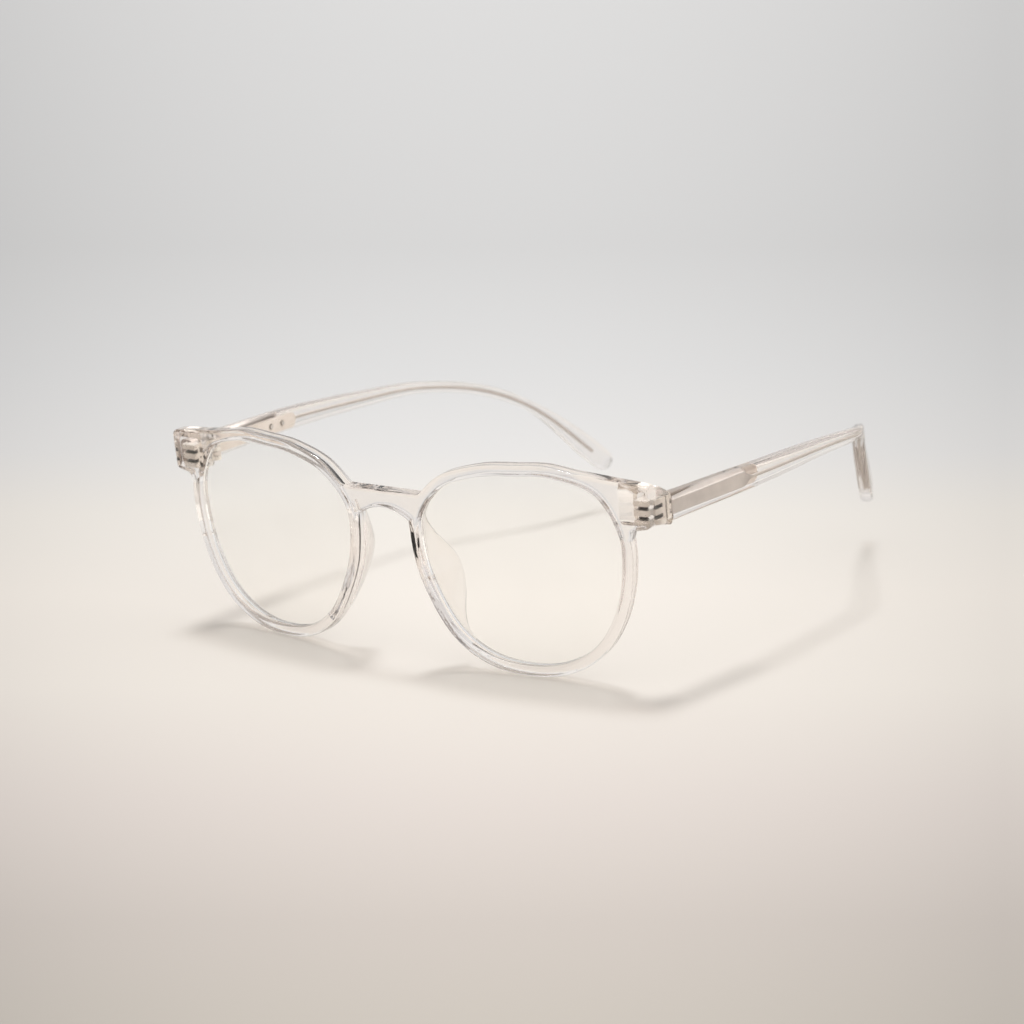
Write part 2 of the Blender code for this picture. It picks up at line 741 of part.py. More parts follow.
def build():
    for obj in list(bpy.data.objects):
        bpy.data.objects.remove(obj, do_unlink=True)
    parts = bpy.data.collections.new("blue_light_glasses")
    cutters = bpy.data.collections.new("cutters")
    bpy.context.scene.collection.children.link(parts)
    bpy.context.scene.collection.children.link(cutters)

    acetate = ("clear_acetate", (0.93, 0.90, 0.87), 0.08, 0.0, 0.9)
    pad_acetate = ("clear_pad_acetate", (0.92, 0.90, 0.88), 0.12, 0.0, 0.9)
    filter_lens = ("blue_filter_lens", (0.97, 0.95, 0.86), 0.03, 0.0, 0.95)
    nickel = ("hinge_nickel", (0.62, 0.56, 0.50), 0.3, 1.0)
    core_metal = ("core_metal", (0.48, 0.43, 0.38), 0.4, 1.0)
    steel = ("screw_steel", (0.45, 0.44, 0.43), 0.25, 1.0)

    middle = Vector((0.0, 0.0, (BRIDGE_TOP_Z + BRIDGE_ARCH_Z) / 2 * MM))
    lean = Matrix.Rotation(LEAN, 3, "X")
    datum = empty("front_datum", -(lean @ middle), None, parts)
    datum.rotation_euler = (LEAN, 0.0, 0.0)

    front = [(front_frame("front_frame", parts, cutters), acetate)]
    swinging = {}
    for label, side in (("left", 1), ("right", -1)):
        front.append((lens("lens_" + label, side, 0.0, LENS_THICKNESS, parts), filter_lens))
        front.append((nose_pad("nose_pad_" + label, side, parts), pad_acetate))
        front.append((front_hinge("front_hinge_" + label, side, parts, cutters), nickel))
        front.append((hinge_screw("hinge_screw_" + label, side, parts, cutters), steel))
        swinging[label, side] = [
            (temple("temple_" + label, parts, cutters), acetate),
            (core_solid("temple_core_" + label, 0.0, parts), core_metal),
            (temple_hinge("temple_hinge_" + label, parts, cutters), nickel),
        ]
        for number, back in enumerate(RIVETS, 1):
            pin = rivet(f"leaf_rivet_{label}_{number}", back, RIVET_RADIUS, 0.0, parts)
            swinging[label, side].append((pin, steel))
        for piece, _ in swinging[label, side]:
            mirrored_x(piece, side)
    finished = []
    for piece, look in front:
        hang(piece, datum, Vector((0, 0, 0)))
        finished.append((piece, look))
    for (label, side), pieces in swinging.items():
        pivot = Vector((side * PIVOT_X, PIVOT_Y, PIVOT_Z)) * MM
        hinge = empty("temple_pivot_" + label, pivot, datum, parts)
        for piece, look in pieces:
            hang(piece, hinge, pivot)
            finished.append((piece, look))
    for piece, look in finished:
        piece.data.materials.clear()
        piece.data.materials.append(material(*look))
        piece.data.materials[0].name = piece.name + "_" + look[0]
        piece.data.shade_smooth()
        piece.data.set_sharp_from_angle(angle=math.radians(35))


build()
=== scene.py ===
"""Clear acetate glasses with faintly tinted lenses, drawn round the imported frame."""

import json
import math

import bmesh
import bpy
from mathutils import Matrix, Vector

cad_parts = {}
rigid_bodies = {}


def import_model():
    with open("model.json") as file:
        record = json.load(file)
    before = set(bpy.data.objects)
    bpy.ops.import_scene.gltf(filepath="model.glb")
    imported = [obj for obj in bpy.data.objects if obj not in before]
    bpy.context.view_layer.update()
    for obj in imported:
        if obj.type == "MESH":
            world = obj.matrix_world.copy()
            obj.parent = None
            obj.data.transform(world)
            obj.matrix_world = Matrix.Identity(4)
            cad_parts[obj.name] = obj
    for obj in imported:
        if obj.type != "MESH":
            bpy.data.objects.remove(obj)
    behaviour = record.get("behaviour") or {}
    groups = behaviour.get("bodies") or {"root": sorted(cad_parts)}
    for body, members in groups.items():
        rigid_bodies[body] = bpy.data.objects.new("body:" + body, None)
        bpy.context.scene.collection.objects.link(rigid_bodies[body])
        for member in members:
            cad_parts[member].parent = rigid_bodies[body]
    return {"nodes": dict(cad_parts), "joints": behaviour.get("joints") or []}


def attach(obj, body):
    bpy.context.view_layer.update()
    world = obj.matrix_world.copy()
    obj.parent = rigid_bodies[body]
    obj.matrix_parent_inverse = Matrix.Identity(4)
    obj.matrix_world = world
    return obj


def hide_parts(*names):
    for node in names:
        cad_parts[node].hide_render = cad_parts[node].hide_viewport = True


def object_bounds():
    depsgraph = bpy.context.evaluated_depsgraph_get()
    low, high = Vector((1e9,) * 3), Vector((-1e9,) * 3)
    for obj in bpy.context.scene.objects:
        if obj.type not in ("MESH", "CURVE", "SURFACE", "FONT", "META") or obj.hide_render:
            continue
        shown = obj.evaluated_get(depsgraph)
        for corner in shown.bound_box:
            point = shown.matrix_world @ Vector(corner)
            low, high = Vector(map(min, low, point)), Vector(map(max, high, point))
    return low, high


for startup_object in list(bpy.data.objects):
    bpy.data.objects.remove(startup_object, do_unlink=True)

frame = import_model()
cad_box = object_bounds()

# Everything below is drawn upright in millimetres, with the origin midway between the lens
# centres on the bridge's front face, and is then put in place from the frame's own joint.
MM = 0.001

# Front, seen from ahead; heights are from the middle of the lenses.
LENS_CENTRE_X = 35.0            # half the distance between the lens centres
RIM_WIDTH = 2.5                 # front width of the acetate round a lens
FRONT_DEPTH = 3.8               # front to back
BRIDGE_TOP_Z = 17.7
BRIDGE_TOP_X = 4.0              # half width of the bridge's level top
BRIDGE_NOTCH = Vector((10.2, BRIDGE_TOP_Z))     # corner between the bridge's top and the rim
BRIDGE_ARCH_Z = 13.6            # crown of the keyhole
BRIDGE_ARCH_SIDE = Vector((6.9, 11.3))          # foot of the keyhole's arch
BRIDGE_FLAT = 8.0               # half width of the flat middle of the front
BEND_RADIUS = 100.0             # each side of the front is bent back on this radius
BEND_ANGLE = math.radians(8.0)
BEND_CUTS = 15                  # cuts across each bend, so that it curves smoothly
EDGE_ROUND = 0.8
EDGE_STEPS = 6
SHORTEST_EDGE = 0.12
SAME_POINT = 0.003              # points closer than this are merged
ARCH_STEPS = 12

# Rim outline about its lens centre: x towards the temple, z up.
RIM_OUTLINE = (
    (25.7, 3.0), (25.3, 13.3), (19.5, 22.5), (8.9, 25.9), (-0.8, 25.9), (-10.2, 25.1), (-20.2, 21.7),
    (-27.2, 13.3), (-27.2, 2.5), (-23.6, -7.0), (-18.1, -14.9), (-10.1, -20.0), (-0.8, -21.6),
    (8.7, -20.4), (17.2, -15.5), (22.9, -7.2),
)

# Where the rim is part of the front's outline, by the angle round the lens centre, in degrees.
RIM_BELOW_END = 24.0
RIM_TOP = (62.0, 138.0)
RIM_BELOW_BRIDGE = 162.0

# End piece, where the temple meets the front.
END_X = 66.1
END_TOP_Z = 23.0
END_BOTTOM_Z = 13.9
END_ROOT = Vector((61.4, 13.2))                 # corner between its underside and the rim
END_INNER_X = 56.8              # the inner side slants from here
END_INNER_BACK_X = 59.3         # to here at the joint
JOINT_Y = 14.5                  # back face of the end piece
JOINT_TOP_Z = 20.4
JOINT_BOTTOM_Z = 12.9
END_SECTIONS = (                # depth, inner side, outer side, bottom and top, back to the joint
    (9.6, END_INNER_X, END_X - 0.9, END_BOTTOM_Z + 0.1, END_TOP_Z - 0.5),
    (12.0, (END_INNER_X + END_INNER_BACK_X) / 2, END_X - 0.4, END_BOTTOM_Z - 0.3, END_TOP_Z - 0.9),
    (JOINT_Y, END_INNER_BACK_X, END_X, JOINT_BOTTOM_Z, JOINT_TOP_Z),
)
END_CORNER = 1.0
PIVOT = Vector((60.5, 16.6, 16.6))

# Radii of the outline's corners
NOTCH_ROUND = 1.6
END_TOP_ROUND = 1.4
END_BOTTOM_ROUND = 1.2
END_ROOT_ROUND = 0.9

# Lens
LENS_THICKNESS = 1.5
LENS_ROUND = 0.12
LENS_ROOM = 0.02                # between the lens and the inner edge of its rim

# Temple: its centre line, straight as far as the second point, then heights and thicknesses by
# the distance from the joint.
TEMPLE_PATH = (
    (64.3, JOINT_Y + 0.3, PIVOT.z), (65.8, 47.0, 14.4), (64.6, 76.0, 11.7), (62.8, 97.0, 9.0),
    (54.9, 113.0, 4.6), (47.2, 126.0, -4.0), (38.8, 143.4, -22.7),
)
TEMPLE_HEIGHTS = (
    (0.0, 6.1), (35.0, 5.2), (80.0, 3.0), (92.0, 2.6), (105.0, 2.6), (116.0, 2.7), (126.0, 4.1),
    (137.0, 5.5), (150.0, 5.2),
)
TEMPLE_THICKNESSES = ((0.0, 3.8), (42.0, 3.8), (90.0, 2.5), (115.0, 3.0), (150.0, 3.2))
TEMPLE_CORNER = 0.32            # corner radius, as a share of the smaller of height and thickness
TEMPLE_STATIONS = 220
TIP_ROUND = 3.0                 # length over which the tip rounds off
TIP_THINNEST = 0.15             # share of the thickness that is left at the tip's end
TIP_STATIONS = 14

# Metal core in the temple: a flat paddle that narrows to a wire.
CORE_START = 0.5
CORE_STATIONS = 260
CORE_PADDLE_LENGTH = 31.0
CORE_PADDLE_FADE = 4.0          # length over which it narrows to the wire
CORE_PADDLE_HEIGHT = 3.2
CORE_THICKNESS = 0.9
CORE_WIRE = 0.8
CORE_CORNER = 0.18              # corner radius of the paddle
CORE_CORNER_RISE = 0.3          # what the corner radius gains along the wire
CORE_OUTWARD = 0.35             # the paddle lies this far outside the middle of the temple
CORE_END_ROOM = 7.0             # the wire stops this far short of the tip

# Nose pad: a fin along the nasal side of the rim's back.
PAD_DEPTH = 7.2
PAD_END_DEPTH = 0.8             # where it runs out into the rim
PAD_ROOT = 3.0                  # how far it reaches into the rim, so that the two join
PAD_WIDTH = 2.9
PAD_END_WIDTH = 0.55            # share of the width at both ends
PAD_TAPER = 0.25                # share of the width that is lost towards the back edge
PAD_SPLAY = 3.0                 # the back edge stands further out than the root
PAD_RISE = 0.38                 # share of its length over which it deepens, from above
PAD_FALL = 0.58                 # share of its length over which it runs out below
PAD_START = 152.0               # angles round the lens centre, in degrees
PAD_END = 226.0
PAD_STATIONS = 48
PAD_SECTION = (                 # across, as a share of the width, and back, as a share of the depth
    (-0.5, -0.35), (0.5, -0.35), (0.5, 0.0), (0.49, 0.25), (0.48, 0.45), (0.43, 0.66), (0.32, 0.84),
    (0.17, 0.96), (0.0, 1.0), (-0.17, 0.98), (-0.34, 0.86), (-0.47, 0.66), (-0.52, 0.45), (-0.51, 0.2),
)

CREASE = math.radians(40.0)     # edges that turn more than this stay sharp
WORN_EDGE = 0.00008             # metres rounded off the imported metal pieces' edges


# ---------------------------------------------------------------- curves and numbers
def smoothstep(value):
    """Rises gently from 0 to 1 as the value does, and stays there outside that span."""
    value = min(max(value, 0.0), 1.0)
    return value * value * (3.0 - 2.0 * value)


def smooth_table(table, value):
    """A value from a short table of (place, value) pairs, with no corner where two spans meet."""
    places = [row[0] for row in table]
    values = [row[1] for row in table]
    span = max((i for i in range(len(table) - 1) if places[i] <= value), default=0)
    slopes = [
        (values[i + 1] - values[i]) / (places[i + 1] - places[i]) for i in range(len(table) - 1)
    ]
    between = [(a + b) / 2 if a * b > 0 else 0.0 for a, b in zip(slopes, slopes[1:])]
    ends = [slopes[0], *between, slopes[-1]]
    width = places[span + 1] - places[span]
    t = min(max((value - places[span]) / width, 0.0), 1.0)
    return (
        (2 * t ** 3 - 3 * t ** 2 + 1) * values[span] + (t ** 3 - 2 * t ** 2 + t) * width * ends[span]
        + (3 * t ** 2 - 2 * t ** 3) * values[span + 1] + (t ** 3 - t ** 2) * width * ends[span + 1]
    )


def catmull_rom(before, start, end, after, t):
    """A point between start and end on a curve that passes through all four."""
    return 0.5 * (
        2.0 * start
        + (end - before) * t
        + (2.0 * before - 5.0 * start + 4.0 * end - after) * t * t
        + (3.0 * start - before - 3.0 * end + after) * t * t * t
    )


def closed_curve(points, per_span):
    """Points along a closed smooth curve that passes through the given ones."""
    points = [Vector(point) for point in points]
    count = len(points)
    ahead = [*points[1:], points[0]]
    beyond = [*points[2:], *points[:2]]
    return [
        catmull_rom(points[i - 1], points[i], ahead[i], beyond[i], k / per_span)
        for i in range(count)
        for k in range(per_span)
    ]


def temple_path(per_span=80):
    """The temple's centre line: a straight run, then a smooth curve that leaves it in line."""
    points = [Vector(point) for point in TEMPLE_PATH]
    straight = (points[1] - points[0]).normalized()
    lead = points[1] - straight * (points[2] - points[1]).length
    padded = [lead, *points[1:], 2 * points[-1] - points[-2]]
    found = [points[0].lerp(points[1], k / per_span) for k in range(per_span)]
    found += [
        catmull_rom(*padded[span:span + 4], k / per_span)
        for span in range(len(points) - 2)
        for k in range(per_span)
    ]
    return [*found, points[-1]]


def lengths_along(path):
    """The distance from the path's start to each of its points."""
    total = 0.0
    found = [0.0]
    for start, end in zip(path, path[1:]):
        total += (end - start).length
        found.append(total)
    return found


def evenly_spaced(path, distances):
    """Points at given distances along a path, each with its distance."""
    lengths = lengths_along(path)
    found = []
    span = 0
    for wanted in distances:
        while span < len(path) - 2 and lengths[span + 1] < wanted:
            span += 1
        share = (wanted - lengths[span]) / (lengths[span + 1] - lengths[span])
        found.append((path[span].lerp(path[span + 1], share), wanted))
    return found


def offset_loop(loop, distance):
    """The closed loop moved inwards by a distance; the loop runs anticlockwise."""
    moved = []
    for i, point in enumerate(loop):
        along = (loop[(i + 1) % len(loop)] - loop[i - 1]).normalized()
        moved.append(point + distance * Vector((-along.y, along.x)))
    return moved


def round_corner(before, corner, after, radius, steps=10):
    """An arc in place of a corner, tangent to both of its sides."""
    back = (before - corner).normalized()
    forth = (after - corner).normalized()
    half = math.acos(max(-1.0, min(1.0, back.dot(forth)))) / 2
    reach = radius / math.tan(half)
    start = corner + back * reach
    end = corner + forth * reach
    centre = corner + (back + forth).normalized() * (radius / math.sin(half))
    first = math.atan2(start.y - centre.y, start.x - centre.x)
    turn = math.atan2(end.y - centre.y, end.x - centre.x) - first
    turn = (turn + math.pi) % (2 * math.pi) - math.pi
    return [
        centre + radius * Vector((math.cos(first + turn * k / steps), math.sin(first + turn * k / steps)))
        for k in range(steps + 1)
    ]


def rim_loop(inwards, per_span=18):
    """The rim's outline, offset inwards, about its lens centre."""
    return offset_loop(closed_curve(RIM_OUTLINE, per_span), inwards)


def clock(point):
    """The anticlockwise angle of a point about its lens centre, in degrees."""
    return math.degrees(math.atan2(point.y, point.x)) % 360


def front_half():
    """The +X half of the front's outline, clockwise from the bridge's top to the keyhole's crown."""
    rim = sorted(rim_loop(0.0), key=lambda point: -clock(point))
    shift = Vector((LENS_CENTRE_X, 0.0))
    top = [point + shift for point in rim if RIM_TOP[0] <= clock(point) <= RIM_TOP[1]]
    below_end = [point + shift for point in rim if clock(point) <= RIM_BELOW_END]
    below_bridge = [point + shift for point in rim if clock(point) >= RIM_BELOW_BRIDGE]
    end_top = Vector((END_X, END_TOP_Z))
    end_bottom = Vector((END_X - 0.4, END_BOTTOM_Z))
    points = [Vector((0.0, BRIDGE_TOP_Z)), Vector((BRIDGE_TOP_X, BRIDGE_TOP_Z))]
    points += round_corner(points[-1], BRIDGE_NOTCH, top[0], NOTCH_ROUND)
    points += top
    points += round_corner(top[-1], end_top, end_bottom, END_TOP_ROUND)
    points += round_corner(end_top, end_bottom, END_ROOT, END_BOTTOM_ROUND)
    points += round_corner(end_bottom, END_ROOT, below_end[0], END_ROOT_ROUND)
    points += below_end
    points += below_bridge
    points += [BRIDGE_ARCH_SIDE]
    rise = BRIDGE_ARCH_Z - BRIDGE_ARCH_SIDE.y
    arch_radius = (BRIDGE_ARCH_SIDE.x ** 2 + rise ** 2) / 2 / rise
    reach = math.asin(BRIDGE_ARCH_SIDE.x / arch_radius)
    for k in range(1, ARCH_STEPS + 1):
        angle = reach * (1 - k / ARCH_STEPS)
        points.append(Vector((
            arch_radius * math.sin(angle),
            BRIDGE_ARCH_Z - arch_radius * (1 - math.cos(angle)),
        )))
    kept = points[:1]
    for point in points[1:]:
        if (point - kept[-1]).length > SHORTEST_EDGE:
            kept.append(point)
    return kept


# ---------------------------------------------------------------- mesh helpers
def add_object(name, data):
    obj = bpy.data.objects.new(name, data)
    bpy.context.scene.collection.objects.link(obj)
    return obj


def remove(obj):
    bpy.data.objects.remove(obj, do_unlink=True)


def evaluated_mesh(obj):
    bpy.context.view_layer.update()
    graph = bpy.context.evaluated_depsgraph_get()
    return bpy.data.meshes.new_from_object(obj.evaluated_get(graph), depsgraph=graph)


def apply_modifiers(obj):
    mesh = evaluated_mesh(obj)
    obj.modifiers.clear()
    obj.data = mesh


def boolean(obj, other, operation):
    """Joins or cuts with another solid, which is then removed."""
    step = obj.modifiers.new("join_or_cut", "BOOLEAN")
    step.operation = operation
    step.object = other
    apply_modifiers(obj)
    remove(other)


def plate(name, loops, near, far, rounding):
    """A flat plate whose outline is drawn in x and z, between two depths; inner loops are holes."""
    curve = bpy.data.curves.new(name, "CURVE")
    curve.dimensions = "2D"
    curve.fill_mode = "BOTH"
    curve.extrude = (far - near) / 2 - rounding
    curve.bevel_depth = rounding
    curve.bevel_resolution = EDGE_STEPS
    curve.offset = -rounding
    for loop in loops:
        spline = curve.splines.new("POLY")
        spline.points.add(len(loop) - 1)
        for point, place in zip(spline.points, loop):
            point.co = (place[0], place[1], 0.0, 1.0)
        spline.use_cyclic_u = True
    drawn = add_object(name + "_curve", curve)
    mesh = evaluated_mesh(drawn)
    upright = Matrix.Rotation(math.radians(90), 4, "X")
    mesh.transform(Matrix.Translation((0, (near + far) / 2, 0)) @ upright)
    remove(drawn)
    work = bmesh.new()
    work.from_mesh(mesh)
    bmesh.ops.remove_doubles(work, verts=work.verts, dist=SAME_POINT)
    bmesh.ops.recalc_face_normals(work, faces=work.faces)
    work.to_mesh(mesh)
    work.free()
    return add_object(name, mesh)


def bent(point):
    """Where a point of the flat front goes when its sides are bent back."""
    side = math.copysign(1.0, point.x)
    along = abs(point.x) - BRIDGE_FLAT
    if along <= 0:
        return point.copy()
    arc = min(along / BEND_RADIUS, BEND_ANGLE)
    straight = max(along - BEND_RADIUS * BEND_ANGLE, 0.0)
    radius = BEND_RADIUS - point.y
    x = BRIDGE_FLAT + radius * math.sin(arc) + straight * math.cos(arc)
    y = BEND_RADIUS - radius * math.cos(arc) + straight * math.sin(arc)
    return Vector((side * x, y, point.z))


def bend(obj):
    """Cuts each side of the front across its bend, then bends it back."""
    work = bmesh.new()
    work.from_mesh(obj.data)
    for k in range(BEND_CUTS):
        x = BRIDGE_FLAT + BEND_RADIUS * BEND_ANGLE * k / (BEND_CUTS - 1)
        for side in (-1, 1):
            geometry = [*work.verts, *work.edges, *work.faces]
            bmesh.ops.bisect_plane(
                work, geom=geometry, dist=1e-5, plane_co=(side * x, 0, 0), plane_no=(1, 0, 0)
            )
    for vert in work.verts:
        vert.co = bent(vert.co)
    bmesh.ops.recalc_face_normals(work, faces=work.faces)
    work.to_mesh(obj.data)
    work.free()


def solid_from_rings(name, rings):
    """A capped loft through rings of points with the same count."""
    work = bmesh.new()
    loops = [[work.verts.new(point) for point in ring] for ring in rings]
    count = len(loops[0])
    for low, high in zip(loops, loops[1:]):
        for i in range(count):
            j = (i + 1) % count
            work.faces.new((low[i], low[j], high[j], high[i]))
    work.faces.new(loops[0][::-1])
    work.faces.new(loops[-1])
    bmesh.ops.recalc_face_normals(work, faces=work.faces)
    mesh = bpy.data.meshes.new(name)
    work.to_mesh(mesh)
    work.free()
    return add_object(name, mesh)


def rounded_section(height, thickness, corner, steps=6):
    """A rounded rectangle of (across, up) pairs about its middle."""
    across = thickness / 2 - corner
    up = height / 2 - corner
    points = []
    for quarter, (sx, sy) in enumerate(((1, 1), (-1, 1), (-1, -1), (1, -1))):
        for k in range(steps + 1):
            angle = math.radians(90 * quarter + 90 * k / steps)
            points.append((sx * across + corner * math.cos(angle), sy * up + corner * math.sin(angle)))
    return points


def sweep(name, stations, section_at):
    """Sections set square to a path; section_at gives (outward, up) pairs for a distance along it."""
    rings = []
    for i, (place, distance) in enumerate(stations):
        ahead = stations[min(i + 1, len(stations) - 1)][0]
        behind = stations[max(i - 1, 0)][0]
        along = (ahead - behind).normalized()
        outward = along.cross(Vector((0, 0, 1))).normalized()
        up = outward.cross(along)
        ring = [place + outward * a + up * b for a, b in section_at(distance)]
        if i == 0:
            ring = [point + along * ((place.y - point.y) / along.y) for point in ring]
        rings.append(ring)
    return solid_from_rings(name, rings)


def settle():
    """The matrix that takes the drawn millimetres to the frame, from the frame's own left joint."""
    joint = next(j for j in frame["joints"] if j["pos_m"][0] > 0)
    lean = math.atan2(-joint["axis"][1], joint["axis"][2])
    turn = Matrix.Rotation(lean, 4, "X")
    pivot = Vector(joint["pos_m"])
    return Matrix.Translation(pivot) @ turn @ Matrix.Scale(MM, 4) @ Matrix.Translation(-PIVOT)


PLACE = settle()


def finish_piece(obj, body, material, replaced, side=1):
    """Puts a drawn piece in the frame, dresses it, and ties it to its body; side -1 mirrors it."""
    if side < 0:
        obj.data.transform(Matrix.Scale(-1, 4, (1, 0, 0)))
        obj.data.flip_normals()
    obj.data.transform(PLACE)
    obj.data.materials.clear()
    obj.data.materials.append(material)
    obj.data.shade_smooth()
    obj.data.set_sharp_from_angle(angle=CREASE)
    even = obj.modifiers.new("even_shading", "WEIGHTED_NORMAL")
    even.keep_sharp = True
    even.weight = 80
    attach(obj, body)
    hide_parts(*replaced)


# ---------------------------------------------------------------- shapes
def nose_pad(side):
    """A fin on the back of the rim's nasal side, deepest in its middle and splayed outwards."""
    rings = []
    rim = closed_curve(RIM_OUTLINE, 60)
    for i in range(PAD_STATIONS + 1):
        t = i / PAD_STATIONS
        angle = PAD_START + (PAD_END - PAD_START) * t
        outer = min(rim, key=lambda point: abs(clock(point) - angle))
        inward = -outer.normalized()
        swell = smoothstep(t / PAD_RISE) * smoothstep((1.0 - t) / PAD_FALL)
        depth = PAD_END_DEPTH + (PAD_DEPTH - PAD_END_DEPTH) * swell
        width = PAD_WIDTH * (PAD_END_WIDTH + (1.0 - PAD_END_WIDTH) * swell)
        root = outer + inward * (RIM_WIDTH / 2)
        ring = []
        for across, back in PAD_SECTION:
            lean = PAD_SPLAY * swell * max(back, 0.0)
            taper = 1 - PAD_TAPER * max(back, 0.0)
            place = root + inward * (across * width * taper + lean)
            y = FRONT_DEPTH + (depth * back if back > 0 else PAD_ROOT * back)
            ring.append(bent(Vector((side * (place.x + LENS_CENTRE_X), y, place.y))))
        rings.append(ring)
    return solid_from_rings("pad", rings)


def end_block(side):
    """The thick end of the front that carries the hinge, from inside the front to the joint."""
    rings = []
    for y, inner, outer, bottom, top in END_SECTIONS:
        section = rounded_section(top - bottom, outer - inner, END_CORNER)
        rings.append([
            Vector((side * ((inner + outer) / 2 + a), y, (bottom + top) / 2 + b)) for a, b in section
        ])
    return solid_from_rings("end", rings)


def lens_disc(name, side):
    """A lens as it shows, up to the inner edge of its rim."""
    loop = [
        Vector((side * (point.x + LENS_CENTRE_X), point.y))
        for point in rim_loop(RIM_WIDTH + LENS_ROOM)
    ]
    middle = FRONT_DEPTH / 2
    near = middle - LENS_THICKNESS / 2
    far = middle + LENS_THICKNESS / 2
    piece = plate(name, [loop], near, far, LENS_ROUND)
    bend(piece)
    return piece


def front_acetate():
    """Bridge, rims, end pieces and nose pads as one polished skin, open where the lenses are."""
    half = front_half()
    outline = half + [Vector((-point.x, point.y)) for point in half[-2:0:-1]]
    inner = rim_loop(RIM_WIDTH)
    loops = [outline]
    for side in (-1, 1):
        loops.append([Vector((side * (point.x + LENS_CENTRE_X), point.y)) for point in inner])
    front = plate("clear_front", loops, 0.0, FRONT_DEPTH, EDGE_ROUND)
    bend(front)
    for side in (-1, 1):
        boolean(front, end_block(side), "UNION")
        boolean(front, nose_pad(side), "UNION")
    return front


def temple_acetate(name):
    """The clear temple, closely spaced over its rounded tip."""
    path = temple_path()
    length = lengths_along(path)[-1]
    distances = [(length - TIP_ROUND) * k / TEMPLE_STATIONS for k in range(TEMPLE_STATIONS + 1)]
    for k in range(1, TIP_STATIONS):
        share = math.sin(math.radians(90 * k / TIP_STATIONS))
        distances.append(length - TIP_ROUND * (1 - share))

    def section(distance):
        height = smooth_table(TEMPLE_HEIGHTS, distance)
        thick = smooth_table(TEMPLE_THICKNESSES, distance)
        into_tip = max(0.0, 1.0 - (length - distance) / TIP_ROUND)
        tip = math.sqrt(1.0 - min(into_tip, 0.995) ** 2)
        height *= tip
        thick *= TIP_THINNEST + (1.0 - TIP_THINNEST) * tip
        return rounded_section(height, thick, min(height, thick) * TEMPLE_CORNER, 8)

    return sweep(name, evenly_spaced(path, distances), section)


def wire_core(name):
    """The flat paddle and the wire behind it."""
    path = temple_path()
    length = lengths_along(path)[-1]
    end = length - CORE_END_ROOM
    distances = [CORE_START + (end - CORE_START) * k / CORE_STATIONS for k in range(CORE_STATIONS + 1)]

    def section(distance):
        paddle = 1.0 - smoothstep((distance - CORE_PADDLE_LENGTH) / CORE_PADDLE_FADE + 1.0)
        height = CORE_WIRE + (CORE_PADDLE_HEIGHT - CORE_WIRE) * paddle
        thick = CORE_WIRE + (CORE_THICKNESS - CORE_WIRE) * paddle
        corner = CORE_CORNER + CORE_CORNER_RISE * (1 - paddle)
        drawn = rounded_section(height, thick, corner, 4)
        return [(across + CORE_OUTWARD * paddle, up) for across, up in drawn]

    return sweep(name, evenly_spaced(path, distances), section)


# ---------------------------------------------------------------- materials
class Nodes:
    """A short way to write a node material. An input named i0, i1 and so on is given by its place."""

    def __init__(self, name):
        self.material = bpy.data.materials.new(name)
        self.material.use_nodes = True
        self.tree = self.material.node_tree
        self.tree.nodes.clear()
        self.output = self.tree.nodes.new("ShaderNodeOutputMaterial")
        self.place = self.add("ShaderNodeTexCoord").outputs["Object"]

    def add(self, kind, settings=None, **inputs):
        node = self.tree.nodes.new(kind)
        for key, value in (settings or {}).items():
            setattr(node, key, value)
        for key, value in inputs.items():
            place = int(key[1:]) if key[1:].isdigit() else key.replace("_", " ")
            self.feed(node.inputs[place], value)
        return node

    def feed(self, socket, value):
        if isinstance(value, bpy.types.NodeSocket):
            self.tree.links.new(value, socket)
        else:
            socket.default_value = value

    def noise(self, scale, detail=3.0, roughness=0.5):
        return self.add(
            "ShaderNodeTexNoise", Vector=self.place, Scale=scale, Detail=detail, Roughness=roughness
        ).outputs["Fac"]

    def ramp(self, value, low, high, start=0.0, end=1.0):
        """A number that goes from low to high as value goes from start to end."""
        return self.add("ShaderNodeMapRange", i0=value, i1=start, i2=end, i3=low, i4=high).outputs[0]

    def mix(self, share, first, second):
        node = self.add("ShaderNodeMix", {"data_type": "RGBA"})
        self.feed(node.inputs[0], share)
        self.feed(node.inputs[6], first)
        self.feed(node.inputs[7], second)
        return node.outputs[2]

    def math(self, operation, first, second=0.0):
        return self.add("ShaderNodeMath", {"operation": operation}, i0=first, i1=second).outputs[0]

    def off_centre(self, value, middle):
        """How far a number is from a middle one."""
        return self.math("ABSOLUTE", self.math("SUBTRACT", value, middle))

    def bump(self, height, strength, distance):
        return self.add("ShaderNodeBump", Height=height, Strength=strength, Distance=distance).outputs[0]


PAINTED_EDGE_SHADE = (0.42, 0.38, 0.355, 1)          # painted shade: clear plastic darkened where it is seen along its surface
PAINTED_CREVICE_SHADE = (0.02, 0.016, 0.013, 1)      # painted shade on metal where pieces meet
